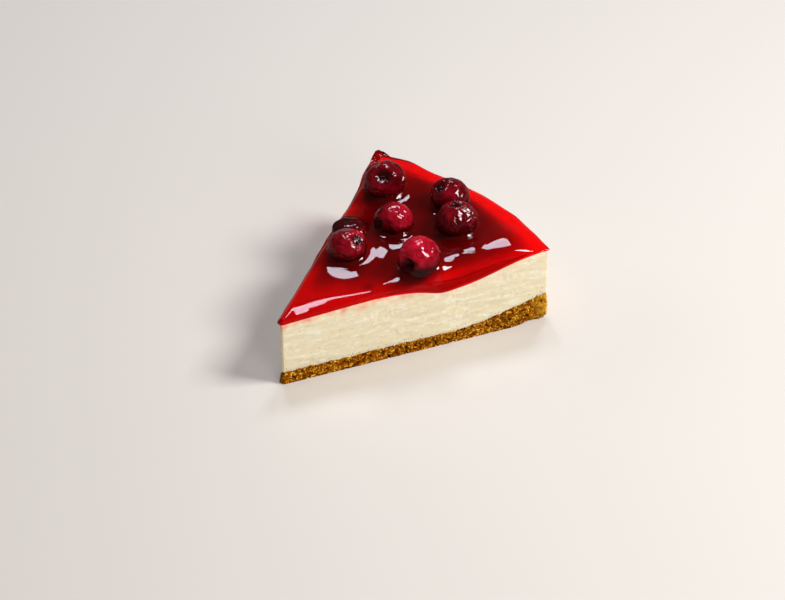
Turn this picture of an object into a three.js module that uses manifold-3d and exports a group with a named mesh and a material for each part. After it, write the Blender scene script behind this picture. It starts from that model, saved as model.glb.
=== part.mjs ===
// A slice of baked cheesecake with a sour cherry topping, cut from a round cake.
//
// From the bottom up it is a crumb base that climbs where it was pressed against the tin, the baked cream
// cheese on it, a set glaze that was poured over the top and hangs over its edges, and seven stoned cherries
// that stand in the glaze. Each is a solid of its own, and pieces that touch keep a gap of GAP.
//
// Millimetres, +Z up. The slice is worked out with its tip on the Z axis and its middle line along +X. The
// finished group is then moved so that the origin is the middle of its footprint, on the surface it stands on.

import * as THREE from "three";
import { ImprovedNoise } from "three/addons/math/ImprovedNoise.js";
import { mergeVertices } from "three/addons/utils/BufferGeometryUtils.js";
import Module from "manifold-3d";

const { clamp, degToRad, lerp, smoothstep } = THREE.MathUtils;

// The wedge
const TIN_RADIUS = 115; // a 9 inch tin
const HALF_ANGLE = degToRad(24); // half the angle between the two cuts
const TIP_RADIUS = 1.5; // the knife leaves the tip a little blunt
const GAP = 0.3; // air between pieces that touch
const EVEN = 0.07; // facets that differ from their neighbours' planes by less are joined to them
const LAYER_STEPS = [44, 36, 4]; // from the tip to the rim, across and up

// The crumb base
const BASE_THICKNESS = 4.9;
const BASE_WALL_HEIGHT = 13.6; // at the rim, where the crumbs were pressed up the tin
const BASE_WALL_REACH = 38; // how far in from the rim they climb
const BASE_WALL_CURVE = 1.5; // 1 is a straight slope, and more steepens towards the rim
const SEAM_RELIEF = 0.5; // how far its top goes up and down where it shows in a cut
const CRUMB_SIZE = 2.6;
const CRUMB_RELIEF = 0.95;
const KNIFE_DRAG = 1.0; // how far the knife spread the crumbs at the foot of a cut
const BROKEN_FOOT = 3.2; // how far the rim's foot has crumbled away
const BROKEN_HEIGHT = 3.5;
const BROKEN_FROM = 0.9; // share of the way from the tip to the rim

// The baked filling
const FILLING_TIP_TOP = 28.9;
const FILLING_RIM_TOP = 34.6; // a baked cake sinks in its middle
const FILLING_SHOULDER = 0.7; // the rounding of its top edge
const FILLING_LEVELS = [0, 0.3, 0.62, 0.93, 1];
const KNIFE_RELIEF = 0.18;
const SMEAR_SIZE = [16, 16, 2.5]; // the knife left it in long level streaks

// The glaze
const GLAZE_DEPTH = 2.7; // over most of the top
const GLAZE_POOL = 1.7; // how much deeper it lies among the cherries
const POOL_REACH = 17;
const GLAZE_EDGE = 3.6; // how far in from a cut its top rounds over
const GLAZE_RIM_DEPTH = 0.6; // at the rim, towards which it thins out
const GLAZE_RIM_REACH = 15; // how far in from the rim the thinning starts
const GLAZE_THINNEST = 0.35; // along the edges of its top
const GLAZE_BULGE = 0.28; // how much its side swells between its edges
const GLAZE_BUNCHING = 0.7; // 0 spaces its steps evenly and 1 bunches them most where it rounds over
const WAVE_SIZE = 14;
const WAVE_HEIGHT = 0.25;
const GLAZE_STEPS = [44, 34, 3];
const MENISCUS_HEIGHT = 2.3; // how far it climbs the cherries
const MENISCUS_REACH = 2.4;
const MENISCUS_FOOT = 0.92; // where it starts, as a share of a cherry's radius
const BURIED_CHERRY = { x: 76.8, y: -24.4, reach: 6, up: 1.6 }; // only raises the glaze over it

// The edges of the glaze. It stands out of a face by out and ends at the heights in end, from the tip to the
// rim on the cuts. Where it ran over, at a distance from the tip or an angle round the rim, it ends lower by
// down and stands out further by more.
const FRONT_EDGE = {
  out: 0.4,
  end: [28.4, 34.4],
  runs: [
    { at: 76.5, reach: 22.5, down: 5.8, more: 1.2 },
    { at: 68, reach: 6, down: 1.4, more: 0.3 },
  ],
};
const BACK_EDGE = {
  out: 1.1,
  end: [28.4, 34],
  runs: [
    { at: 56, reach: 15, down: 2.6, more: 1.4 },
    { at: 109, reach: 13, down: 3.0, more: 3.6 },
  ],
};
const RIM_EDGE = {
  out: -0.2,
  end: [33.4, 33.4],
  runs: [{ at: degToRad(22), reach: degToRad(4.5), down: 3.6, more: 5.4 }],
};

// The cherries: where each stands, its radii along its own axes, and which way its stoned end looks
const CHERRY_DETAIL = 4;
const CHERRY_WRINKLE = 0.05; // these are shares of the radius
const WRINKLE_SIZE = 0.8;
const HOLE_LIP = 0.05;
const HOLE_REACH = 0.34; // from the middle of the stoned end, in radians
const HOLE_LIP_AT = 0.72;
const HOLE_LIP_REACH = 0.25;
const CHERRY_LIFT = 0.45; // clear of the filling, whose top is faceted
const CHERRIES = [
  { name: "cherry_back_left", x: 86.8, y: 27.0, radii: [9.3, 8.8, 8.0], end: [-0.5, -0.4, 0.7], hole: 0.26 },
  { name: "cherry_centre", x: 70.6, y: 6.2, radii: [8.0, 7.8, 7.2], end: [-0.8, 0.2, 0.5], hole: 0.2 },
  { name: "cherry_back_right", x: 97.6, y: 0.3, radii: [8.0, 8.2, 7.2], end: [-0.2, -0.3, 0.9], hole: 0.18 },
  { name: "cherry_torn", x: 87.0, y: -13.2, radii: [8.9, 8.0, 7.6], end: [0.1, 0.25, 1], hole: 0.34 },
  { name: "cherry_front", x: 58.5, y: -19.5, radii: [8.6, 8.4, 8.5], end: [-0.9, -0.25, 0.2], hole: 0.3 },
  { name: "cherry_pitted", x: 46.0, y: 8.3, radii: [8.1, 8.2, 7.0], end: [0.25, -0.6, 0.75], hole: 0.24 },
  { name: "cherry_sunk", x: 57.9, y: 18.5, radii: [7.3, 7.3, 3.7], end: [0.1, 0.3, 1], hole: 0.16 },
];

const COLOURS = {
  crumb: 0xb27a35,
  filling: 0xefe4c4,
  glaze: 0x8e0610,
  cherry: 0x75101c,
};

const wasm = await Module();
wasm.setup();

const noise = new ImprovedNoise();

// Smooth noise from -1 to 1 with grains of the given size, and a half-size grain on top of it
function grain(x, y, z, size) {
  const coarse = noise.noise(x / size, y / size, z / size);
  const fine = noise.noise((x / size) * 2 + 7, (y / size) * 2, (z / size) * 2);
  return coarse + 0.5 * fine;
}

function polar(r, angle) {
  return new THREE.Vector2(r * Math.cos(angle), r * Math.sin(angle));
}

const FRONT_NORMAL = polar(1, -HALF_ANGLE - Math.PI / 2);
const BACK_NORMAL = polar(1, HALF_ANGLE + Math.PI / 2);

function bump(x, middle, reach) {
  return Math.exp(-(((x - middle) / reach) ** 2));
}

// How far a place is from the nearest side of the slice
function depthInside(x, y) {
  const p = new THREE.Vector2(x, y);
  return Math.min(-p.dot(FRONT_NORMAL), -p.dot(BACK_NORMAL), TIN_RADIUS - p.length());
}

function baseTop(x, y) {
  const climb = Math.max(0, (Math.hypot(x, y) - (TIN_RADIUS - BASE_WALL_REACH)) / BASE_WALL_REACH);
  const ragged = SEAM_RELIEF * Math.exp(-depthInside(x, y) / 2) * grain(x, y, 3, 4);
  return lerp(BASE_THICKNESS, BASE_WALL_HEIGHT, climb ** BASE_WALL_CURVE) + ragged;
}

function fillingTop(x, y) {
  return lerp(FILLING_TIP_TOP, FILLING_RIM_TOP, Math.hypot(x, y) / TIN_RADIUS);
}

// A box of many steps bent into the wedge. u runs from the tip to the rim, v from the front cut to the back
// one and w upwards, each from 0 to 1, and place returns the point of the solid for them.
function wedgeBlock(steps, place) {
  const box = new THREE.BoxGeometry(1, 1, 1, ...steps);
  box.deleteAttribute("normal");
  box.deleteAttribute("uv");
  const solid = mergeVertices(box);
  const at = solid.getAttribute("position");
  for (let i = 0; i < at.count; i++) {
    const point = place(at.getX(i) + 0.5, at.getY(i) + 0.5, at.getZ(i) + 0.5);
    at.setXYZ(i, point.x, point.y, point.z);
  }
  return solid;
}

// A layer of the cake. shape is given a place in the wedge, how far up the layer it is and how far from the
// tip to the rim. It returns the height z there and how far the outline is moved outwards. The places inside
// move along with the outline, less and less towards the middle.
function layer(shape) {
  return wedgeBlock(LAYER_STEPS, (u, v, w) => {
    const r = lerp(TIP_RADIUS, TIN_RADIUS, u);
    const angle = lerp(-HALF_ANGLE, HALF_ANGLE, v);
    const p = polar(r, angle);
    const { z, move } = shape(p, w, u);
    const most = Math.max(move, -0.35 * r); // keeps the two cuts apart at the tip
    p.addScaledVector(polar(1, angle + Math.PI / 2), most * (2 * v - 1));
    p.addScaledVector(polar(1, angle), most * (2 * u - 1) ** 5);
    return new THREE.Vector3(p.x, p.y, z);
  });
}

function crumbBase() {
  return layer((p, w, u) => {
    const z = w * baseTop(p.x, p.y);
    const loose = Math.sin(Math.PI * Math.min(1, w + 0.12)); // none where it meets the filling
    const crag = CRUMB_RELIEF * loose * grain(p.x, p.y, z, CRUMB_SIZE);
    const broken = BROKEN_FOOT * smoothstep(u, BROKEN_FROM, 1) * (1 - smoothstep(z, 0, BROKEN_HEIGHT));
    return { z, move: crag + KNIFE_DRAG * (1 - w) - broken };
  });
}

// The filling, or with a margin the space that the glaze has to leave for it.
function filling(margin = 0) {
  return layer((p, w) => {
    const level = FILLING_LEVELS[Math.round(w * (FILLING_LEVELS.length - 1))];
    const z = lerp(baseTop(p.x, p.y) + GAP, fillingTop(p.x, p.y) + margin, level);
    const [long, deep, high] = SMEAR_SIZE;
    const streak = noise.noise(p.x / long, p.y / deep, z / high);
    const smear = KNIFE_RELIEF * Math.sin(Math.PI * level) * streak;
    const shoulder = level === 1 ? FILLING_SHOULDER : 0;
    return { z, move: margin + smear - shoulder };
  });
}

function cherryCentre(cherry) {
  const [, , upright] = cherry.radii;
  return new THREE.Vector3(cherry.x, cherry.y, fillingTop(cherry.x, cherry.y) + upright + CHERRY_LIFT);
}

// A stoned cherry round its own centre: an uneven ball with a dent where the stone was pushed out.
function cherryGeometry(cherry, margin = 0) {
  const ball = new THREE.IcosahedronGeometry(1, CHERRY_DETAIL);
  ball.deleteAttribute("normal");
  ball.deleteAttribute("uv");
  const solid = mergeVertices(ball);
  const at = solid.getAttribute("position");
  const end = new THREE.Vector3(...cherry.end).normalize();
  for (let i = 0; i < at.count; i++) {
    const way = new THREE.Vector3().fromBufferAttribute(at, i).normalize();
    const fromEnd = way.angleTo(end);
    const dent = cherry.hole * bump(fromEnd, 0, HOLE_REACH);
    const rolledLip = HOLE_LIP * bump(fromEnd, HOLE_LIP_AT, HOLE_LIP_REACH);
    const wrinkle = CHERRY_WRINKLE * grain(way.x + cherry.x, way.y + cherry.y, way.z, WRINKLE_SIZE);
    const length = 1 - dent + rolledLip + wrinkle;
    const [a, b, c] = cherry.radii;
    const point = way.clone().multiply(new THREE.Vector3(a, b, c)).multiplyScalar(length);
    point.addScaledVector(way, margin);
    at.setXYZ(i, point.x, point.y, point.z);
  }
  return solid;
}

// How far the glaze's edge stands out and the height at which it ends, at a place along it that is a share of
// the way from the tip to the rim
function edgeAt(edge, place, share = 0) {
  const made = { out: edge.out, end: lerp(edge.end[0], edge.end[1], share) };
  for (const run of edge.runs) {
    const full = bump(place, run.at, run.reach);
    made.out += run.more * full;
    made.end -= run.down * full;
  }
  return made;
}

// The height of the glaze's surface, but for the rounding at the cuts
function glazeTop(x, y) {
  let pool = 0;
  let climb = 0;
  for (const cherry of CHERRIES) {
    const away = Math.hypot(x - cherry.x, y - cherry.y);
    const foot = cherry.radii[0] * MENISCUS_FOOT;
    pool = Math.max(pool, bump(away, 0, POOL_REACH));
    climb = Math.max(climb, away < foot ? 1 : Math.exp(-(away - foot) / MENISCUS_REACH));
  }
  const toBuried = Math.hypot(x - BURIED_CHERRY.x, y - BURIED_CHERRY.y);
  const buried = BURIED_CHERRY.up * bump(toBuried, 0, BURIED_CHERRY.reach);
  const waves = WAVE_HEIGHT * noise.noise(x / WAVE_SIZE, y / WAVE_SIZE, 5);
  const full = GLAZE_DEPTH + GLAZE_POOL * pool + MENISCUS_HEIGHT * climb + buried + waves;
  const toRim = clamp((TIN_RADIUS - Math.hypot(x, y)) / GLAZE_RIM_REACH, 0, 1);
  const [rimRun] = RIM_EDGE.runs;
  const ranOver = bump(Math.atan2(y, x), rimRun.at, 1.6 * rimRun.reach);
  const thinned = lerp(GLAZE_RIM_DEPTH, full, Math.sqrt(1 - (1 - toRim) ** 2));
  return fillingTop(x, y) + lerp(thinned, full, ranOver);
}

// Bunches the steps of a box at its ends, where the glaze rounds over
const bunched = (t) => lerp(t, 0.5 - 0.5 * Math.cos(Math.PI * t), GLAZE_BUNCHING);

// The side of the glaze at a share of its height: narrowest at its lower edge, and full a little way up
function sideAt(w) {
  const turn = (w * GLAZE_STEPS[2] + 0.4) / (GLAZE_STEPS[2] + 0.4);
  return 1 - GLAZE_BULGE + GLAZE_BULGE * Math.sin(Math.PI * turn);
}

// The glaze before the filling and the cherries are taken out of it
function glazeBlock() {
  return wedgeBlock(GLAZE_STEPS, (evenU, evenV, w) => {
    const u = bunched(evenU);
    const v = bunched(evenV);
    const r = lerp(TIP_RADIUS, TIN_RADIUS, u);
    const angle = lerp(-HALF_ANGLE, HALF_ANGLE, v);
    const front = edgeAt(FRONT_EDGE, r, u);
    const back = edgeAt(BACK_EDGE, r, u);
    const rim = edgeAt(RIM_EDGE, angle);

    const p = polar(r, angle);
    const level = fillingTop(p.x, p.y);
    const rounded = sideAt(w);
    const side = lerp(-front.out, back.out, v) * rounded;
    const along = lerp(-front.out, rim.out * rounded, smoothstep(u, 0, 1));
    p.addScaledVector(polar(1, angle + Math.PI / 2), side * Math.abs(2 * v - 1) ** 0.5);
    p.addScaledVector(polar(1, angle), along * Math.abs(2 * u - 1) ** 3);

    const inFront = 1 / (v + 0.02);
    const inBack = 1 / (1 - v + 0.02);
    const inRim = 1 / (1 - u + 0.02);
    const end = (front.end * inFront + back.end * inBack + rim.end * inRim) / (inFront + inBack + inRim);

    const toCut = Math.min(v, 1 - v) * r * 2 * HALF_ANGLE;
    const outer = 1 - clamp(Math.min(toCut, TIN_RADIUS - r) / GLAZE_EDGE, 0, 1);
    const depth = glazeTop(p.x, p.y) - level;
    const top = level + lerp(GLAZE_THINNEST, depth, Math.sqrt(1 - outer ** 2));
    return new THREE.Vector3(p.x, p.y, lerp(end, top, w));
  });
}

function toManifold(geometry) {
  return new wasm.Manifold(
    new wasm.Mesh({
      numProp: 3,
      vertProperties: geometry.getAttribute("position").array,
      triVerts: new Uint32Array(geometry.index.array),
    }),
  );
}

function toGeometry(manifold) {
  const { numProp, numVert, vertProperties, triVerts } = manifold.getMesh();
  const points = new Float32Array(numVert * 3);
  for (let i = 0; i < numVert; i++) {
    points.set(vertProperties.subarray(i * numProp, i * numProp + 3), i * 3);
  }
  const geometry = new THREE.BufferGeometry();
  geometry.setAttribute("position", new THREE.BufferAttribute(points, 3));
  geometry.setIndex(new THREE.BufferAttribute(triVerts, 1));
  return geometry;
}

function glaze() {
  let left = toManifold(glazeBlock()).subtract(toManifold(filling(GAP)));
  for (const cherry of CHERRIES) {
    const space = cherryGeometry(cherry, GAP);
    space.translate(...cherryCentre(cherry));
    left = left.subtract(toManifold(space));
  }
  // Cutting can leave scraps between two cherries, so the largest body is the glaze
  const [largest] = left.decompose().sort((a, b) => b.volume() - a.volume());
  return largest.asOriginal();
}

function piece(name, solid, colour, roughness) {
  const geometry = toGeometry(solid.simplify(EVEN));
  geometry.computeVertexNormals();
  const material = new THREE.MeshStandardMaterial({ color: colour, roughness, metalness: 0 });
  const mesh = new THREE.Mesh(geometry, material);
  mesh.name = name;
  return mesh;
}

const slice = new THREE.Group();
slice.add(piece("crumb_base", toManifold(crumbBase()), COLOURS.crumb, 0.95));
slice.add(piece("cheese_filling", toManifold(filling()), COLOURS.filling, 0.6));
slice.add(piece("cherry_glaze", glaze(), COLOURS.glaze, 0.08));
for (const cherry of CHERRIES) {
  const mesh = piece(cherry.name, toManifold(cherryGeometry(cherry)), COLOURS.cherry, 0.15);
  mesh.position.copy(cherryCentre(cherry));
  slice.add(mesh);
}

const bounds = new THREE.Box3().setFromObject(slice, true);
const middle = bounds.getCenter(new THREE.Vector3());
slice.position.set(-middle.x, -middle.y, -bounds.min.z);

export default slice;
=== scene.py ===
from functools import cache
import math
import random

import bmesh
import bpy
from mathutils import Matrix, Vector, noise
from mathutils.geometry import intersect_point_line


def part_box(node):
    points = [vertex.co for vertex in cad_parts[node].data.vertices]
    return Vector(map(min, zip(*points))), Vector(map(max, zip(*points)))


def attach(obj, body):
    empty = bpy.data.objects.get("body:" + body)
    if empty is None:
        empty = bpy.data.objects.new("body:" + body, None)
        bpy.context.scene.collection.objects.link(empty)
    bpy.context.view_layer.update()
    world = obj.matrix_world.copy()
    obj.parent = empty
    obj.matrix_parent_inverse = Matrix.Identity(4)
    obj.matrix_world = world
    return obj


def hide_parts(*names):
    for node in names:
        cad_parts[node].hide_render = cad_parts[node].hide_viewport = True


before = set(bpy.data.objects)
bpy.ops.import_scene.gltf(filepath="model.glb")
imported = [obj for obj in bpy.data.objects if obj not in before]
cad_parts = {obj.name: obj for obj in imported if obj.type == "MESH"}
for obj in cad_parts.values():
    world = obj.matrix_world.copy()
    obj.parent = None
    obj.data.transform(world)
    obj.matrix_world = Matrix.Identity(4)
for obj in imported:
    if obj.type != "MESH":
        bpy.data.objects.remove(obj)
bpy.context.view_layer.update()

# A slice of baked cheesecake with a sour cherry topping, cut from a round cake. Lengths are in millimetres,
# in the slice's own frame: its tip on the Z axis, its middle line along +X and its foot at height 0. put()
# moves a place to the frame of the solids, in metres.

MM = 0.001
TIN_RADIUS = 115.0
HALF_ANGLE = math.radians(24)  # half the angle between the two cuts
TIP_RADIUS = 1.5  # the knife leaves the tip a little blunt

# The filling reaches the rim, so its box tells where the tip is
low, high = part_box("cheese_filling")
TIP = Vector((high.x - TIN_RADIUS * MM, (low.y + high.y) / 2, 0))


def put(x, y, z):
    return Vector((x, y, z)) * MM + TIP


def mix(a, b, share):
    return a + (b - a) * share


def clamp(x, least=0.0, most=1.0):
    return max(least, min(most, x))


def smooth(x, start, end):
    t = clamp((x - start) / (end - start))
    return t * t * (3 - 2 * t)


def bump(x, middle, reach):
    return math.exp(-(((x - middle) / reach) ** 2))


# Smooth noise from -1 to 1 with grains of the given size
def grain(p, size, seed=0.0):
    return noise.noise(Vector((p[0] / size + seed, p[1] / size - seed, p[2] / size + 3.7 * seed)))


def along(angle):
    return Vector((math.cos(angle), math.sin(angle), 0))


# Pieces


def finish_piece(bm, name, nodes=()):
    bmesh.ops.remove_doubles(bm, verts=bm.verts, dist=1e-7)
    bmesh.ops.recalc_face_normals(bm, faces=bm.faces)
    mesh = bpy.data.meshes.new(name)
    bm.to_mesh(mesh)
    bm.free()
    for face in mesh.polygons:
        face.use_smooth = True
    piece = bpy.data.objects.new(name, mesh)
    bpy.context.scene.collection.objects.link(piece)
    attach(piece, "root")
    if nodes:
        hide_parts(*nodes)
    return piece


# The outline of the wedge runs from the tip along the front cut, round the rim, back along the hidden cut
# and round the tip. A place on it is the length walked so far.
FRONT_OUT = along(-HALF_ANGLE - math.pi / 2)
BACK_OUT = along(HALF_ANGLE + math.pi / 2)
CUT = TIN_RADIUS - TIP_RADIUS
RIM_LENGTH = 2 * HALF_ANGLE * TIN_RADIUS
TIP_LENGTH = (math.pi - 2 * HALF_ANGLE) * 0.6  # counted short, so that few points crowd there
OUTLINE = 2 * CUT + RIM_LENGTH + TIP_LENGTH
CORNER = 0.8  # the way outwards is evened out over this length to either side
SOFT_CORNER = 3.0  # the same for the glaze


def edge_out(at):
    at %= OUTLINE
    if at < CUT:
        return FRONT_OUT
    at -= CUT
    if at < RIM_LENGTH:
        return along(mix(-HALF_ANGLE, HALF_ANGLE, at / RIM_LENGTH))
    at -= RIM_LENGTH
    if at < CUT:
        return BACK_OUT
    at = (at - CUT) / TIP_LENGTH
    return along(mix(math.pi / 2 + HALF_ANGLE, 1.5 * math.pi - HALF_ANGLE, at))


def edge_point(at):
    at %= OUTLINE
    if at < CUT:
        return along(-HALF_ANGLE) * (TIP_RADIUS + at)
    at -= CUT
    if at < RIM_LENGTH:
        return along(mix(-HALF_ANGLE, HALF_ANGLE, at / RIM_LENGTH)) * TIN_RADIUS
    at -= RIM_LENGTH
    if at < CUT:
        return along(HALF_ANGLE) * (TIN_RADIUS - at)
    at = (at - CUT) / TIP_LENGTH
    return along(mix(HALF_ANGLE, -HALF_ANGLE, at)) * TIP_RADIUS


# A point of the outline and the way outwards there, at a share of the way round from the tip
@cache
def outline(share, corner=CORNER):
    at = share * OUTLINE
    out = sum((edge_out(at + corner * k / 4) for k in range(-4, 5)), Vector((0, 0, 0)))
    return edge_point(at), out.normalized()


# A closed shell of rings, from the middle of its underside out, up its wall and in over its top
MIDDLE = Vector((74, 0, 0))


def shell(around, rings, place, marks=()):
    bm = bmesh.new()
    last = len(rings) - 1
    bmesh.ops.create_grid(bm, x_segments=around, y_segments=last, size=0.5)
    layers = [bm.verts.layers.float.new(mark) for mark in marks]
    for v in bm.verts:
        share = (v.co.x + 0.5) % 1.0
        if share > 1 - 1e-5:  # the last column meets the first
            share = 0.0
        inward, level = rings[round((v.co.y + 0.5) * last)]
        point, *values = place(share, inward, level)
        for layer, value in zip(layers, values):
            v[layer] = value
        v.co = put(*point)
    return bm


# The rings of a layer: outwards over its underside, up its wall and inwards over its top
def layer_rings(under, levels, over):
    rings = [(t, 0.0) for t in reversed(under)]
    rings += [(0.0, k / levels) for k in range(levels + 1)]
    rings += [(t, 1.0) for t in over]
    return rings


# The crumb base
BASE_THICKNESS = 4.9
BASE_WALL_HEIGHT = 13.6  # at the rim, where the crumbs were pressed up the tin
BASE_WALL_REACH = 38.0  # how far in from the rim they climb
BASE_WALL_CURVE = 1.5
BASE_PROUD = 0.3  # how far it stands out from under the filling
BASE_RELIEF_REACH = 0.03  # share of the way in over which its relief ends
CRUMB_SIZE = 1.7
CRUMB_RELIEF = 0.5
FINE_CRUMB_SIZE = 0.8
FINE_CRUMB_RELIEF = 0.16
LUMP_SIZE = 3.2
LUMP_RELIEF = 0.8
LEVEL_CRUMB = 0.6  # a crumb of this height leaves the surface where it is
PIT_DEPTH = 0.7
KNIFE_DRAG = 0.7  # how far the knife spread the crumbs at the foot of a cut
BROKEN_FROM = 0.86  # share of the way from the tip to the rim
BROKEN_FOOT = 2.2  # how far the rim's foot has crumbled away
BROKEN_HEIGHT = 3.5


def base_top(x, y):
    climb = max(0.0, (math.hypot(x, y) - (TIN_RADIUS - BASE_WALL_REACH)) / BASE_WALL_REACH)
    return mix(BASE_THICKNESS, BASE_WALL_HEIGHT, climb ** BASE_WALL_CURVE)


# Roundish crumbs: 0 at the bottom of the gaps between them, up to 1 on their crowns
def crumb_height(p, size):
    near = noise.voronoi(p / size, distance_metric="DISTANCE")[0]
    return smooth(near[1] - near[0], 0.0, 0.45)


# How far the seam between the base and the filling wanders up and down
def base_seam(x, y):
    return 0.5 * grain((x, y, 4.0), 3.0) + 0.35 * grain((x, y, 9.0), 1.1)


def make_base():
    def place(share, inward, level):
        edge, out = outline(share)
        p = edge.lerp(MIDDLE, inward)
        fade = math.exp(-12 * inward)
        z = level * (base_top(p.x, p.y) + 0.1 + base_seam(p.x, p.y) * fade)
        solid = Vector((p.x, p.y, z))
        big = crumb_height(solid, CRUMB_SIZE)
        small = crumb_height(solid, FINE_CRUMB_SIZE)
        pit = smooth(grain(solid, CRUMB_SIZE, 6), 0.32, 0.6)
        to_rim = smooth(p.length, BROKEN_FROM * TIN_RADIUS, TIN_RADIUS)
        coarse = mix(0.3, 1.0, to_rim) * smooth(z, 0, 1.2)
        lumps = CRUMB_RELIEF * (big - LEVEL_CRUMB) + LUMP_RELIEF * grain(solid, LUMP_SIZE)
        crags = coarse * lumps + FINE_CRUMB_RELIEF * (small - LEVEL_CRUMB) - PIT_DEPTH * pit
        uneven = 1 + grain(solid, BROKEN_HEIGHT, 9)
        broken = BROKEN_FOOT * to_rim * (1 - smooth(z, 0, BROKEN_HEIGHT)) * uneven
        push = crags + KNIFE_DRAG * (1 - level) + BASE_PROUD - broken - BASE_PROUD * level ** 8
        solid += out * push * max(0.0, 1 - inward / BASE_RELIEF_REACH)
        if level > 0.5 and inward > 0:
            solid.z += 0.4 * (small - LEVEL_CRUMB) * fade
        return solid, clamp(0.3 * big + 0.7 * small - pit)

    inner = [0.006, 0.014, 0.03, 0.08, 0.2, 0.5, 1.0]
    bm = shell(1100, layer_rings(inner, 34, inner), place, ["crown"])
    return finish_piece(bm, "crumb_crust", ["crumb_base"])


# The baked filling
FILLING_TIP_TOP = 28.9
FILLING_RIM_TOP = 34.6
WORN_FROM = 0.5  # its top edge is worn where the glaze on it slopes down by more than this
FILM = 1.1  # and leaves about this much room for the glaze, or more


def filling_top(x, y):
    return mix(FILLING_TIP_TOP, FILLING_RIM_TOP, math.hypot(x, y) / TIN_RADIUS)


# Painted shade on the filling's top under the glaze, darkest round the cherries and at these places: x and
# y, how far it reaches and how strong it is: the pool and a spot near the tip, and some sunken skin, dark
# itself.
SHADE_AND_SKIN_SPOTS = [(84, 1, 33, 1.3), (33, 8, 8, 0.6), (38.8, -11, 2.6, 0.8)]
CHERRY_SHADE_REACH = 12.5
THIN_GLAZE_SHADE = 0.33  # painted shade under the edges of the glaze
RIM_GLAZE_SHADE = 0.2
CUT_GLAZE_SHADE = 0.34  # painted shade on a cut, behind the glaze that hangs over it
STAIN = 0.16  # on a cut below the glaze


def near_rim(p):
    return 1 - smooth(TIN_RADIUS - p.length, 0, 7)


# Painted shade on the filling's top under the glaze, with the dark of the sunken skin
def shade_and_skin_on_top(p):
    from_rim = (TIN_RADIUS - p.length) * mix(1.0, 1.7, smooth(p.y, -25, 5))
    inside = min(-p.dot(FRONT_OUT), from_rim, 2.5 - p.dot(BACK_OUT))
    spots = [(cherry["x"], cherry["y"], CHERRY_SHADE_REACH, 1.0) for cherry in CHERRIES.values()]
    deep = max(full * bump(math.hypot(p.x - x, p.y - y), 0, reach) for x, y, reach, full in spots + SHADE_AND_SKIN_SPOTS)
    to_tip = 1 - smooth(p.length, 20, 48)
    thin = THIN_GLAZE_SHADE + 0.12 * grain((p.x, p.y, 0), 12.0, 17) + 0.09 * to_tip
    thin = mix(thin, RIM_GLAZE_SHADE, near_rim(p))
    return thin + smooth(inside, 0.6, 10.5) * (1 - thin) * min(1.0, deep)


# On a cut, a real pink stain below the glaze and painted shade behind it; end is the height at which the
# glaze ends
def stain_and_shade_on_cut(p, end):
    below = max(0.0, end - p.z)
    run = 2.4 + 2.6 * grain((p.x, p.y, 2.0), 5.0, 1)
    blotch = 0.6 + 0.9 * grain(p, 2.6, 5)
    to_tip = 1 - smooth(math.hypot(p.x, p.y), 30, 80)
    stain = max(0.0, blotch) * STAIN * bump(below, 0, max(0.4, run)) * (0.15 + 0.85 * to_tip)
    return max(stain, mix(CUT_GLAZE_SHADE, RIM_GLAZE_SHADE, near_rim(p)) * smooth(p.z - end, 0.0, 1.2))


# Crumbs that the knife dragged up into the filling
def dragged_crumbs(p, bottom):
    return math.exp(-max(0.0, p.z - bottom) / 1.3) * (0.65 + 0.6 * grain(p, 4.0, 14))


def cream_top(p):
    worn = front_slope(p)
    level = filling_top(p.x, p.y)
    return min(level, level + GLAZE_DEPTH - worn - FILM) if worn > WORN_FROM else level


def make_filling():
    def place(share, inward, level):
        edge, out = outline(share)
        p = edge.lerp(MIDDLE, inward)
        bottom = base_top(p.x, p.y) + (base_seam(p.x, p.y) - 0.5) * math.exp(-12 * inward) - 0.4
        z = mix(bottom, cream_top(p), level)
        solid = Vector((p.x, p.y, z))
        crumbs = 0.0
        if inward == 0.0:
            free = math.sin(math.pi * level) ** 0.5 if 0 < level < 1 else 0.0
            smear = 0.22 * grain((p.x / 5, p.y / 5, z), 2.2) + 0.1 * grain((p.x / 3, p.y / 3, z), 0.8, 3)
            rough = smooth(grain((p.x, p.y, z * 1.6), 9.0, 8), 0.1, 0.5)
            torn = rough * (0.16 * grain(solid, 1.5, 2) + 0.12 * grain(solid, 0.7, 4))
            round_over = 0.7 * level ** 18 + 0.3 * (1 - level) ** 18
            solid += out * ((smear + torn) * free - round_over)
            crumbs = dragged_crumbs(solid, bottom)
        # Painted shade under the glaze, real stains on the cuts and sunken skin darken the filling's colour
        if level == 1.0:
            stain_and_shade = shade_and_skin_on_top(solid)
        elif inward == 0.0:
            stain_and_shade = stain_and_shade_on_cut(solid, lip(share)[1])
        else:
            stain_and_shade = 0.0
        return solid, stain_and_shade, crumbs

    under = [0.01, 0.05, 0.2, 0.5, 1.0]
    over = [0.01, 0.02, 0.035] + [0.05 + 0.95 * (k / 26) for k in range(27)]
    bm = shell(640, layer_rings(under, 46, over), place, ["stain_and_shade", "crumbs"])
    return finish_piece(bm, "baked_cream", ["cheese_filling"])
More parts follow.
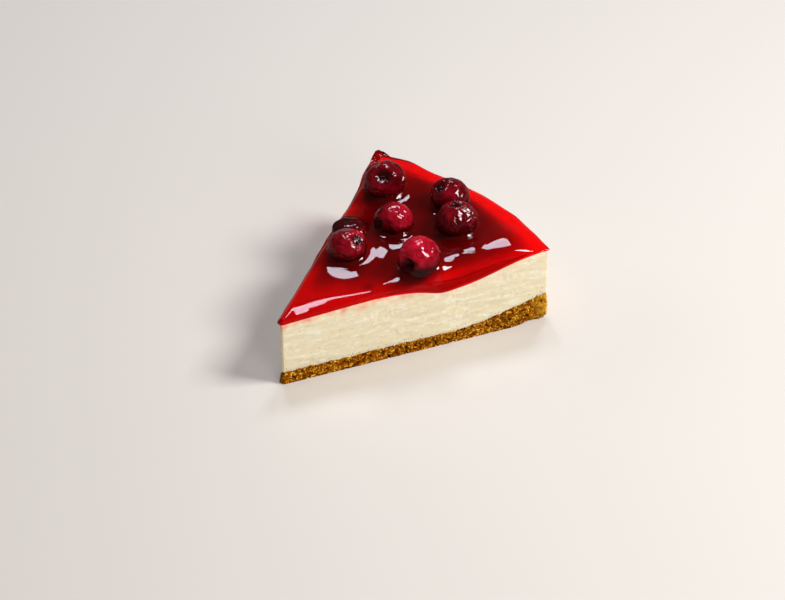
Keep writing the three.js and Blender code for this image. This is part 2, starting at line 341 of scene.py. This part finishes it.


# The cherries: where each stands, its radii along its own axes, which way its stoned end looks and how deep
# the hole there is, as a share of the radius. ripe is how bright its skin is, and dip the heights over the
# glaze between which the skin goes from dark to bright, partly the glaze on it and partly painted shade.
CHERRY_LIFT = 0.45
CHERRY_FLATS = 9
FLAT_AT = (0.9, 0.97)  # how far from the middle a flat lies, as a share of the radius
FLAT_BLEND = 0.04
CHERRIES = {
    "cherry_back_left": dict(x=86.8, y=27.0, radii=(9.3, 8.8, 8.0), end=(-0.5, -0.4, 0.7), hole=0.16,
                             ripe=0.4, wrinkle=1.6, dip=(0, 5)),
    "cherry_centre": dict(x=70.6, y=6.2, radii=(8.0, 7.8, 7.2), end=(-0.8, 0.2, 0.1), hole=0.16,
                          ripe=0.75, wrinkle=0.8, dip=(1, 6)),
    "cherry_back_right": dict(x=97.6, y=0.3, radii=(8.0, 8.2, 7.2), end=(-0.55, 0.3, 0.75), hole=0.13,
                              ripe=0.42, wrinkle=1.1, dip=(1, 6)),
    "cherry_torn": dict(x=87.0, y=-13.2, radii=(8.9, 8.0, 7.6), end=(0.1, 0.25, 1), hole=0.3,
                        ripe=0.42, wrinkle=1.2, folds=0.12, dip=(1, 6)),
    "cherry_front": dict(x=58.5, y=-19.5, radii=(8.6, 8.4, 8.5), end=(-0.9, -0.1, 0.1), hole=0.34,
                         ripe=1.0, wrinkle=0.8, ragged=2.5, dip=(3, 9)),
    "cherry_pitted": dict(x=46.0, y=8.3, radii=(8.1, 8.2, 7.0), end=(0.25, -0.6, 0.75), hole=0.16,
                          ripe=0.55, wrinkle=1.0, cross=0.2, dip=(1, 6)),
    "cherry_sunk": dict(x=57.9, y=18.5, radii=(7.3, 7.3, 3.7), end=(0.1, 0.3, 1), hole=0.1,
                        ripe=0.2, wrinkle=0.7, dip=(0, 3)),
}


def make_cherry(name, cherry):
    a, b, c = cherry["radii"]
    x, y = cherry["x"], cherry["y"]
    middle = Vector((x, y, filling_top(x, y) + c + CHERRY_LIFT))
    end = Vector(cherry["end"]).normalized()
    side = end.orthogonal().normalized()
    other = end.cross(side)
    dice = random.Random(name)
    flats = []
    for _ in range(CHERRY_FLATS):
        way = Vector((dice.gauss(0, 1), dice.gauss(0, 1), dice.gauss(0.3, 1))).normalized()
        flats.append((way, dice.uniform(*FLAT_AT)))
    bm = bmesh.new()
    bmesh.ops.create_icosphere(bm, subdivisions=6, radius=1.0)
    bright = bm.verts.layers.float.new("bright")
    for v in bm.verts:
        way = v.co.normalized()
        from_end = way.angle(end)
        round_end = math.atan2(way.dot(other), way.dot(side))
        place = Vector((way.x + x, way.y + y, way.z))
        ragged = 0.09 * cherry.get("ragged", 1.0) * grain(place, 0.35, 5)
        in_hole = 1 - smooth(from_end + ragged, 0.15, 0.5)
        dent = cherry["hole"] * in_hole
        turn = 2 * round_end + 0.6 * grain(place, 0.7)
        cross = cherry.get("cross", 0.0) * bump(from_end, 0.12, 0.5) * abs(math.cos(turn)) ** 14
        rolled_lip = 0.045 * bump(from_end, 0.66, 0.2)
        wrinkle = cherry["wrinkle"] * (0.045 * grain(place, 0.8) + 0.03 * grain(place, 0.36, 7))
        crease = cherry["wrinkle"] * 0.028 * bump(grain(place, 0.55, 21), 0, 0.07)
        streak = grain((3 * math.cos(round_end) + x, 3 * math.sin(round_end) + y, 0.6 * from_end), 0.5, 2)
        fold = cherry.get("folds", 0.0) * abs(streak) * bump(from_end, 0.8, 0.7)
        fine = 0.006 * grain(place, 0.16, 3)
        length = 1 - dent - cross + rolled_lip + wrinkle + fine - fold - crease
        for flat, depth in flats:
            facing = way.dot(flat)
            over = length * facing - depth
            if over > FLAT_BLEND:
                length -= over / facing
            elif over > -FLAT_BLEND:
                length -= (over + FLAT_BLEND) ** 2 / (4 * FLAT_BLEND * facing)
        length += 0.014 * grain(place, 0.3, 12) + (0.006 + 0.05 * in_hole) * grain(place, 0.12, 13)
        point = middle + Vector((way.x * a, way.y * b, way.z * c)) * length
        clear = point.z - filling_top(point.x, point.y) - glaze_depth(point.x, point.y, name)
        # Painted shade: the skin is darker low down near the glaze, where the glaze on it is thicker too,
        # and darker in the stoned hole and in the folds
        dry = smooth(clear + 0.8 * grain(place, 0.5, 11), *cherry["dip"])
        patches = 0.85 + 0.55 * grain(place, 0.9, 4) + 0.25 * grain(place, 0.22, 6)
        brightness = cherry["ripe"] * patches * (0.12 + 0.88 * dry) * (1 - 0.85 * in_hole)
        v[bright] = clamp(brightness - 0.9 * fold)
        v.co = put(*point)
    return finish_piece(bm, name + "_skin", [name])


# The glaze
GLAZE_DEPTH = 2.7  # over most of the top
GLAZE_POOL = 1.7  # how much deeper it lies among the cherries
POOL_REACH = 20.0
GLAZE_EDGE = 3.6  # how far in from its edge the top rounds over
GLAZE_RIM_DEPTH = 0.6
GLAZE_RIM_REACH = 15.0
MENISCUS_HEIGHT = 1.4  # how far it climbs the cherries
MENISCUS_REACH = 0.9
MENISCUS_FOOT = 0.92  # where it starts, as a share of a cherry's radius
MENISCUS_HOLD = 0.8  # the share of its height at a single cherry
MENISCUS_GAIN = 1.2  # nearly makes up for that
WAVE_HEIGHT = 0.25
WAVE_SIZE = 14.0
# Swells of its surface: the line along which each lies, how far it reaches to either side, and its height
SWELLS = [((90, 29), (114, 30), 7.5, 1.9),
          ((52.8, 10.4), (58.4, 4.7), 9.5, 1.2),
          ((45, 8), (47, 9), 14.0, 0.7),
          ((75.6, -23.6), (78.0, -24.8), 7.2, 0.75),
          ((86, -29.5), (101, -32.0), 6.5, 1.35)]

# The edges of the glaze stand out of a face by out and end at the heights in end, from the tip to the rim.
# Each run is where the glaze ran over, how far that reaches, how much lower it ends and how much more it
# stands out.
RUN_AT = 76.5  # from the tip, on the front cut
FRONT_EDGE = dict(out=0.4, end=(28.4, 34.4), runs=[(RUN_AT, 22.5, 5.8, 1.2), (68, 6, 1.4, 0.3)])
BACK_EDGE = dict(out=1.1, end=(28.4, 34), runs=[(56, 15, 2.6, 1.4), (109, 13, 3.0, 3.6)])
RIM_EDGE = dict(out=-0.2, end=(33.4, 33.4), runs=[(math.radians(22), math.radians(4.5), 3.6, 5.4)])


def edge_at(edge, place, share=0.0):
    out, end = edge["out"], mix(*edge["end"], share)
    for at, reach, down, more in edge["runs"]:
        full = bump(place, at, reach)
        out += more * full
        end -= down * full
    return out, end


# The glaze slopes down towards the front cut, from further in near the tip and where it ran over than
# between them, and falls over the cut where it ran over. The filling's edge is worn down under it.
SLOPE = 0.19
SLOPE_START = 1.5
TIP_SLOPE_REACH = 4.6
LEAST_SLOPE_REACH = 0.7
RUN_SLOPE_REACH = 8.0
RUN_REACH = 24
FALL = 2.6
FALL_REACH = 4.5


def front_slope(p):
    r = p.length
    reach = TIP_SLOPE_REACH * (1 - smooth(r, 14, 44)) * smooth(r, -6, 9)
    reach += LEAST_SLOPE_REACH * (1 - smooth(r, 46, 60))
    reach += RUN_SLOPE_REACH * bump(r, RUN_AT, 12)
    inside = -p.dot(FRONT_OUT)
    t = max(0.0, reach - inside)
    fall = clamp(1 - inside / FALL_REACH, 0.0, 1.2) ** 2
    steeper = 1 + smooth(r, 12, 34) * (1 - smooth(r, 50, 60))
    return SLOPE * steeper * t * t / (t + SLOPE_START) + FALL * bump(r, RUN_AT, RUN_REACH) * fall


# How deep the glaze is, without its climb up the cherry that is named in but


def glaze_depth(x, y, but=None):
    pool = 0.0
    dry = 1.0
    for name, cherry in CHERRIES.items():
        dx, dy = x - cherry["x"], y - cherry["y"]
        away = math.hypot(dx, dy)
        foot = cherry["radii"][0] * MENISCUS_FOOT
        pool = max(pool, bump(away, 0, POOL_REACH))
        if name == but:
            continue
        uneven = 1 + 0.35 * grain((dx / (away + 0.1), dy / (away + 0.1), cherry["x"]), 0.45)
        climb = 1.0 if away < foot else math.exp(-(away - foot) / MENISCUS_REACH)
        dry *= 1 - MENISCUS_HOLD * climb * uneven
    waves = WAVE_HEIGHT * grain((x, y, 70.0), WAVE_SIZE)
    for start, stop, reach, up in SWELLS:
        share = intersect_point_line(Vector((x, y)), Vector(start), Vector(stop))[1]
        crest = Vector(start).lerp(Vector(stop), clamp(share))
        waves += up * bump((Vector((x, y)) - crest).length, 0, reach)
    full = GLAZE_DEPTH + GLAZE_POOL * pool + MENISCUS_HEIGHT * (1 - dry) * MENISCUS_GAIN + waves
    to_rim = smooth(TIN_RADIUS - math.hypot(x, y), -4.0, GLAZE_RIM_REACH + 1)
    at, reach = RIM_EDGE["runs"][0][:2]
    ran_over = bump(math.atan2(y, x), at, 1.6 * reach)
    thinned = mix(GLAZE_RIM_DEPTH, full, to_rim)
    return mix(thinned, full, ran_over)


# How far the glaze stands out at a share of the way round, and the height at which it ends there, both
# evened out over a few millimetres
@cache
def lip(share):
    outs, ends = [], []
    for shift in (-3.0, -1.5, 0.0, 1.5, 3.0):
        at = (share * OUTLINE + shift) % OUTLINE
        if at < CUT:
            r = at + TIP_RADIUS
            out, end = edge_at(FRONT_EDGE, r, r / TIN_RADIUS)
        elif at < CUT + RIM_LENGTH:
            out, end = edge_at(RIM_EDGE, mix(-HALF_ANGLE, HALF_ANGLE, (at - CUT) / RIM_LENGTH))
            out += 0.25 + 0.8 * grain((at, 0, 0), 9.0, 7) + 0.35 * grain((at, 0, 0), 3.5, 9)
        else:
            r = max(0.0, TIN_RADIUS - (at - CUT - RIM_LENGTH))
            out, end = edge_at(BACK_EDGE, r, r / TIN_RADIUS)
            out += 0.55 * grain((r, 0, 0), 7.0, 3) + 0.3 * grain((r, 0, 0), 3.0, 5)
        outs.append(out)
        ends.append(end)
    return sum(outs) / len(outs), sum(ends) / len(ends)


def depth_inside(p):
    return min(-p.dot(FRONT_OUT), -p.dot(BACK_OUT), TIN_RADIUS - p.length)


GLAZE_MIDDLE = Vector((70.6, 6.2, 0))
TIP_EDGE = 0.8  # how far in the top rounds over near the tip
RUN_EDGE = 1.6  # the same where it ran over the front cut
CORNER_EDGE = 2.4  # and towards the back corner
LIP_TURNS = 8
EDGE_RINGS = 14
EDGE_SHARE = 0.075
TOP_RINGS = 92


# How far in from the edge the top rounds over
def edge_round(share, edge):
    at = share * OUTLINE
    if at < CUT:
        tip = 1 - smooth(edge.length, 42, 62)
        return mix(mix(GLAZE_EDGE, TIP_EDGE, tip), RUN_EDGE, bump(edge.length, RUN_AT, RUN_REACH))
    corner = smooth(at, CUT + 0.7 * RIM_LENGTH, CUT + 0.95 * RIM_LENGTH)
    return mix(GLAZE_EDGE, CORNER_EDGE, corner)


# Its rings run outwards on the filling, turn round the lip and come back in over the top
def make_glaze():
    def place(share, kind, level):
        edge, face = outline(share, SOFT_CORNER)
        out, end = lip(share)
        rolled = edge + face * out
        top_here = filling_top(rolled.x, rolled.y)
        widest = mix(end, top_here + 0.45 * glaze_depth(edge.x, edge.y) - front_slope(edge), 0.4)
        if kind == "under":
            p = edge.lerp(GLAZE_MIDDLE, level)
            return [(p.x, p.y, cream_top(p) - 0.3)]
        if kind == "tucked":
            p = edge - face * 0.6
            return [(p.x, p.y, end + 0.3)]
        if kind == "lip":
            p = edge + face * (out * math.cos(level) - 0.15 * math.sin(level))
            return [(p.x, p.y, widest - (widest - end) * math.sin(level))]
        p = rolled.lerp(GLAZE_MIDDLE, level)
        inside = max(0.0, depth_inside(p) + out * math.exp(-level / 0.05))
        outer = 1 - clamp(inside / edge_round(share, edge))
        if level == 0.0:
            outer = 1.0
        top = filling_top(p.x, p.y) + glaze_depth(p.x, p.y) - front_slope(p)
        return [(p.x, p.y, mix(min(widest, top), top, math.sqrt(1 - outer ** 2)))]

    rings = [("under", t) for t in (1.0, 0.6, 0.3, 0.1, 0.03)] + [("tucked", 0.0)]
    rings += [("lip", math.pi / 2 * (1 - k / LIP_TURNS)) for k in range(LIP_TURNS)]
    rings += [("top", EDGE_SHARE * (k / EDGE_RINGS) ** 2) for k in range(EDGE_RINGS)]
    rings += [("top", mix(EDGE_SHARE, 1.0, k / TOP_RINGS)) for k in range(TOP_RINGS + 1)]
    bm = shell(600, rings, place)
    return finish_piece(bm, "set_glaze", ["cherry_glaze"])


# Materials


def material(name):
    made = bpy.data.materials.new(name)
    made.use_nodes = True
    return made, made.node_tree.nodes, made.node_tree.links, made.node_tree.nodes["Principled BSDF"]


def attribute(nodes, name):
    node = nodes.new("ShaderNodeAttribute")
    node.attribute_name = name
    return node.outputs["Fac"]


def ramp(nodes, links, fac, stops):
    node = nodes.new("ShaderNodeValToRGB")
    elements = node.color_ramp.elements
    while len(elements) < len(stops):
        elements.new(0.5)
    for element, (position, colour) in zip(elements, stops):
        element.position = position
        element.color = (*colour, 1)
    links.new(fac, node.inputs["Fac"])
    return node.outputs["Color"]


# Noise on the piece's own coordinates, with grains of size millimetres along each axis
def noise_texture(nodes, links, size, detail=3.0, roughness=0.55):
    where = nodes.new("ShaderNodeTexCoord")
    scaled = nodes.new("ShaderNodeMapping")
    scaled.inputs["Scale"].default_value = [1 / (MM * s) for s in size]
    links.new(where.outputs["Object"], scaled.inputs["Vector"])
    node = nodes.new("ShaderNodeTexNoise")
    node.inputs["Scale"].default_value = 1.0
    node.inputs["Detail"].default_value = detail
    node.inputs["Roughness"].default_value = roughness
    links.new(scaled.outputs["Vector"], node.inputs["Vector"])
    return node.outputs["Fac"]


def cells(nodes, links, size):
    where = nodes.new("ShaderNodeTexCoord")
    node = nodes.new("ShaderNodeTexVoronoi")
    node.inputs["Scale"].default_value = 1 / (MM * size)
    links.new(where.outputs["Object"], node.inputs["Vector"])
    return node


# A number from 0 to 1 for each cell, the same all over it
def cell_number(nodes, links, each):
    node = nodes.new("ShaderNodeSeparateColor")
    links.new(each.outputs["Color"], node.inputs["Color"])
    return node.outputs["Red"]


def blend(nodes, links, fac, a, b, kind="MIX"):
    node = nodes.new("ShaderNodeMix")
    node.data_type = "RGBA"
    node.blend_type = kind
    for socket, value in zip((node.inputs[0], node.inputs[6], node.inputs[7]), (fac, a, b)):
        if isinstance(value, (int, float)):
            socket.default_value = value
        elif isinstance(value, tuple):
            socket.default_value = (*value, 1)
        else:
            links.new(value, socket)
    return node.outputs[2]


def math_node(nodes, links, kind, *values):
    node = nodes.new("ShaderNodeMath")
    node.operation = kind
    for socket, value in zip(node.inputs, values):
        if isinstance(value, (int, float)):
            socket.default_value = value
        else:
            links.new(value, socket)
    return node.outputs["Value"]


def relief(nodes, links, skin, height, strength, distance, under=None):
    node = nodes.new("ShaderNodeBump")
    node.inputs["Strength"].default_value = strength
    node.inputs["Distance"].default_value = distance * MM
    links.new(height, node.inputs["Height"])
    if under is not None:
        links.new(under, node.inputs["Normal"])
    links.new(node.outputs["Normal"], skin.inputs["Normal"])
    return node.outputs["Normal"]


def cream_material():
    made, nodes, links, skin = material("baked_cream")
    smears = noise_texture(nodes, links, (18, 18, 1.8), 4)
    torn = noise_texture(nodes, links, (5, 5, 1.7), 5, 0.7)
    colour = ramp(nodes, links, smears,
                  [(0.25, (0.83, 0.73, 0.49)), (0.5, (0.86, 0.765, 0.525)), (0.75, (0.885, 0.80, 0.575))])
    flecks = ramp(nodes, links, torn, [(0.52, (0, 0, 0)), (0.62, (1, 1, 1))])
    colour = blend(nodes, links, flecks, colour, (0.94, 0.88, 0.71))
    # Small pits in the cream, drawn as dots of painted shade
    pits = cells(nodes, links, 2.6)
    dots = ramp(nodes, links, pits.outputs["Distance"], [(0.05, (0.78, 0.72, 0.6)), (0.13, (1, 1, 1))])
    colour = blend(nodes, links, 1.0, colour, dots, "MULTIPLY")
    # Pink is a real stain; the darker reds down to near black are painted shade under the glaze
    stains_and_shade = ramp(nodes, links, attribute(nodes, "stain_and_shade"),
                  [(0.0, (1, 1, 1)), (0.1, (0.97, 0.6, 0.58)), (0.3, (0.48, 0.05, 0.05)),
                   (0.55, (0.16, 0.0, 0.0)), (0.8, (0.045, 0.0, 0.0)), (1.0, (0.012, 0.0, 0.0))])
    colour = blend(nodes, links, 1.0, colour, stains_and_shade, "MULTIPLY")
    grains = cells(nodes, links, 0.75)
    number = cell_number(nodes, links, grains)
    picked = math_node(nodes, links, "LESS_THAN", number, attribute(nodes, "crumbs"))
    inside = math_node(nodes, links, "LESS_THAN", grains.outputs["Distance"], 0.42)
    crumbs = math_node(nodes, links, "MULTIPLY", picked, inside)
    colour = blend(nodes, links, crumbs, colour, (0.66, 0.42, 0.16))
    links.new(colour, skin.inputs["Base Color"])
    under = relief(nodes, links, skin, smears, 0.1, 0.5)
    under = relief(nodes, links, skin, torn, 0.45, 0.6, under)
    relief(nodes, links, skin, noise_texture(nodes, links, (0.5, 0.5, 0.4), 2), 0.2, 0.1, under)
    skin.inputs["Roughness"].default_value = 0.5
    skin.inputs["Specular IOR Level"].default_value = 0.35
    skin.inputs["Subsurface Weight"].default_value = 0.3
    skin.inputs["Subsurface Radius"].default_value = (1.0, 0.6, 0.3)
    skin.inputs["Subsurface Scale"].default_value = 0.003
    return made


GOLDEN_FROM = 98  # towards the rim the crumbs are painted lighter and more golden between these distances along the middle line
GOLDEN_TO = 107


def crumb_material():
    made, nodes, links, skin = material("crumb")
    each = cells(nodes, links, 0.6)
    colour = ramp(nodes, links, cell_number(nodes, links, each),
                  [(0.0, (0.09, 0.024, 0.001)), (0.25, (0.24, 0.064, 0.001)), (0.7, (0.36, 0.115, 0.003)),
                   (1.0, (0.78, 0.42, 0.05))])
    toasted = noise_texture(nodes, links, (2.6, 2.6, 2.0), 4)
    tint = ramp(nodes, links, toasted,
                [(0.38, (0.55, 0.46, 0.35)), (0.5, (1, 1, 1)), (0.64, (1.4, 1.5, 1.5))])
    colour = blend(nodes, links, 1.0, colour, tint, "MULTIPLY")
    where = nodes.new("ShaderNodeTexCoord")
    axes = nodes.new("ShaderNodeSeparateXYZ")
    links.new(where.outputs["Object"], axes.inputs["Vector"])
    rim = nodes.new("ShaderNodeMapRange")
    rim.inputs["From Min"].default_value = put(GOLDEN_FROM, 0, 0).x
    rim.inputs["From Max"].default_value = put(GOLDEN_TO, 0, 0).x
    rim.inputs["To Max"].default_value = 0.7
    links.new(axes.outputs["X"], rim.inputs["Value"])
    colour = blend(nodes, links, rim.outputs["Result"], colour, (0.95, 0.5, 0.04))
    shade = ramp(nodes, links, attribute(nodes, "crown"), [(0.0, (0.3, 0.22, 0.14)), (0.3, (1, 1, 1))])
    colour = blend(nodes, links, 1.0, colour, shade, "MULTIPLY")
    links.new(colour, skin.inputs["Base Color"])
    under = relief(nodes, links, skin, each.outputs["Distance"], -0.6, 0.35)
    relief(nodes, links, skin, noise_texture(nodes, links, (0.45, 0.45, 0.45), 3), 0.6, 0.25, under)
    skin.inputs["Roughness"].default_value = 0.8
    skin.inputs["Specular IOR Level"].default_value = 0.0
    return made


def cherry_material():
    made, nodes, links, skin = material("cherry")
    mottle = noise_texture(nodes, links, (1.6, 1.6, 1.6), 4, 0.6)
    flesh = ramp(nodes, links, attribute(nodes, "bright"),
                 [(0.0, (0.012, 0.0002, 0.0006)), (0.25, (0.085, 0.0008, 0.0025)),
                  (0.6, (0.3, 0.003, 0.012)), (1.0, (0.58, 0.008, 0.028))])
    dapple = ramp(nodes, links, mottle, [(0.3, (0.75, 0.7, 0.7)), (0.65, (1, 1, 1))])
    colour = blend(nodes, links, 1.0, flesh, dapple, "MULTIPLY")
    links.new(colour, skin.inputs["Base Color"])
    relief(nodes, links, skin, mottle, 0.12, 0.4)
    skin.inputs["Roughness"].default_value = 0.4
    skin.inputs["Specular IOR Level"].default_value = 0.0
    skin.inputs["Coat Weight"].default_value = 1.0
    skin.inputs["Coat Roughness"].default_value = 0.03
    skin.inputs["Coat IOR"].default_value = 1.42
    return made


def glaze_material():
    made, nodes, links, skin = material("glaze")
    skin.inputs["Base Color"].default_value = (0.75, 0.004, 0.008, 1)
    skin.inputs["Roughness"].default_value = 0.02
    skin.inputs["IOR"].default_value = 1.4
    skin.inputs["Transmission Weight"].default_value = 0.93
    soak = nodes.new("ShaderNodeVolumeAbsorption")
    soak.inputs["Color"].default_value = (0.99, 0.0, 0.0, 1)
    soak.inputs["Density"].default_value = 3000.0
    links.new(soak.outputs["Volume"], nodes["Material Output"].inputs["Volume"])
    return made


# Making the slice

base = make_base()
base.data.materials.append(crumb_material())
filling = make_filling()
filling.data.materials.append(cream_material())
glaze = make_glaze()
glaze.data.materials.append(glaze_material())
glaze.visible_shadow = False  # direct light reaches the filling through the clear glaze
cherry_look = cherry_material()
for name, cherry in CHERRIES.items():
    make_cherry(name, cherry).data.materials.append(cherry_look)

# Floor, light and camera

FLOOR_SIZE = 3.0  # in metres, from its middle to a side

bm = bmesh.new()
bmesh.ops.create_grid(bm, x_segments=1, y_segments=1, size=FLOOR_SIZE)
floor_mesh = bpy.data.meshes.new("floor")
bm.to_mesh(floor_mesh)
bm.free()
floor = bpy.data.objects.new("floor", floor_mesh)
bpy.context.scene.collection.objects.link(floor)
floor_look, nodes, links, floor_skin = material("floor")
floor_skin.inputs["Base Color"].default_value = (0.66, 0.61, 0.545, 1)
floor_skin.inputs["Roughness"].default_value = 0.6

# In the gloss the floor shows as a painted glow instead of its lit colour, dark close by and a little paler
# further off
paths = nodes.new("ShaderNodeLightPath")
distance = nodes.new("ShaderNodeMapRange")
distance.inputs["From Min"].default_value = 0.12
distance.inputs["From Max"].default_value = 0.4
distance.inputs["To Min"].default_value = 0.15
distance.inputs["To Max"].default_value = 0.3
links.new(paths.outputs["Ray Length"], distance.inputs["Value"])
mirrored = nodes.new("ShaderNodeEmission")
mirrored.inputs["Color"].default_value = (1, 0.97, 0.94, 1)
links.new(distance.outputs["Result"], mirrored.inputs["Strength"])
either = nodes.new("ShaderNodeMixShader")
links.new(paths.outputs["Is Glossy Ray"], either.inputs[0])
links.new(floor_skin.outputs["BSDF"], either.inputs[1])
links.new(mirrored.outputs["Emission"], either.inputs[2])
links.new(either.outputs["Shader"], nodes["Material Output"].inputs["Surface"])
floor.data.materials.append(floor_look)

# The camera sees a pale backdrop, straight or through the glaze, and the gloss has little of it to mirror
world = bpy.data.worlds.new("studio")
bpy.context.scene.world = world
world.use_nodes = True
nodes, links = world.node_tree.nodes, world.node_tree.links
sky = nodes["Background"]
sky.inputs["Color"].default_value = (1, 0.98, 0.96, 1)
paths = nodes.new("ShaderNodeLightPath")
first = math_node(nodes, links, "LESS_THAN", paths.outputs["Diffuse Depth"], 0.5)
through = math_node(nodes, links, "MULTIPLY", paths.outputs["Is Transmission Ray"], first)
pale = math_node(nodes, links, "MAXIMUM", paths.outputs["Is Camera Ray"], through)
strength = math_node(nodes, links, "ADD", math_node(nodes, links, "MULTIPLY", pale, 0.74), 0.06)
links.new(strength, sky.inputs["Strength"])

# Level directions as the camera sees them, and the place that the lamps look at
RIGHT = Vector((0.695, -0.719, 0))
AWAY = Vector((0.719, 0.695, 0))
CENTRE = put(70, 0, 20)


# A lamp in the direction given by right, away and up, at a distance in metres, with its size in metres
def softbox(name, right, away, up, distance, width, height, radiance, colour=(1, 1, 1), mirrored=True):
    lamp = bpy.data.lights.new(name, "AREA")
    lamp.shape = "RECTANGLE"
    lamp.size = width
    lamp.size_y = height
    lamp.energy = radiance * math.pi * width * height
    lamp.color = colour
    holder = bpy.data.objects.new(name, lamp)
    bpy.context.scene.collection.objects.link(holder)
    way = (RIGHT * right + AWAY * away + Vector((0, 0, up))).normalized()
    holder.location = CENTRE + way * distance
    holder.rotation_euler = (-way).to_track_quat("-Z", "Y").to_euler()
    holder.visible_glossy = mirrored


softbox("key", 0.8, -0.1, 0.85, 1.15, 0.4, 0.38, 30.0, (0.98, 0.98, 1.0))
softbox("back_left", -0.12, 0.47, 0.88, 1.1, 0.19, 0.3, 15.0, (0.82, 0.87, 1.0))
softbox("back_right", 0.185, 0.54, 0.83, 1.1, 0.22, 0.26, 15.0, (0.82, 0.87, 1.0))
softbox("low_front", 0.45, -0.85, 0.45, 1.3, 0.5, 0.4, 7.0, (1.0, 0.98, 0.95), False)
softbox("left_fill", -0.9, 0.25, 0.4, 1.2, 0.5, 0.4, 3.0, (1.0, 0.98, 0.95), False)

HEADING = math.radians(44.03)
PITCH = math.radians(37)
SENSOR_WIDTH = 36
PICTURE_WIDTH = 785  # in pixels, and so is the focal length
FOCAL_LENGTH = 2200

camera = bpy.data.objects.new("camera", bpy.data.cameras.new("camera"))
bpy.context.scene.collection.objects.link(camera)
camera.location = put(-452.1, -498.4, 547.3)
looking = along(HEADING) * math.cos(PITCH) - Vector((0, 0, math.sin(PITCH)))
camera.rotation_euler = looking.to_track_quat("-Z", "Y").to_euler()
camera.data.sensor_width = SENSOR_WIDTH
camera.data.lens = SENSOR_WIDTH * FOCAL_LENGTH / PICTURE_WIDTH
bpy.context.scene.camera = camera
bpy.context.scene.view_settings.view_transform = "Standard"
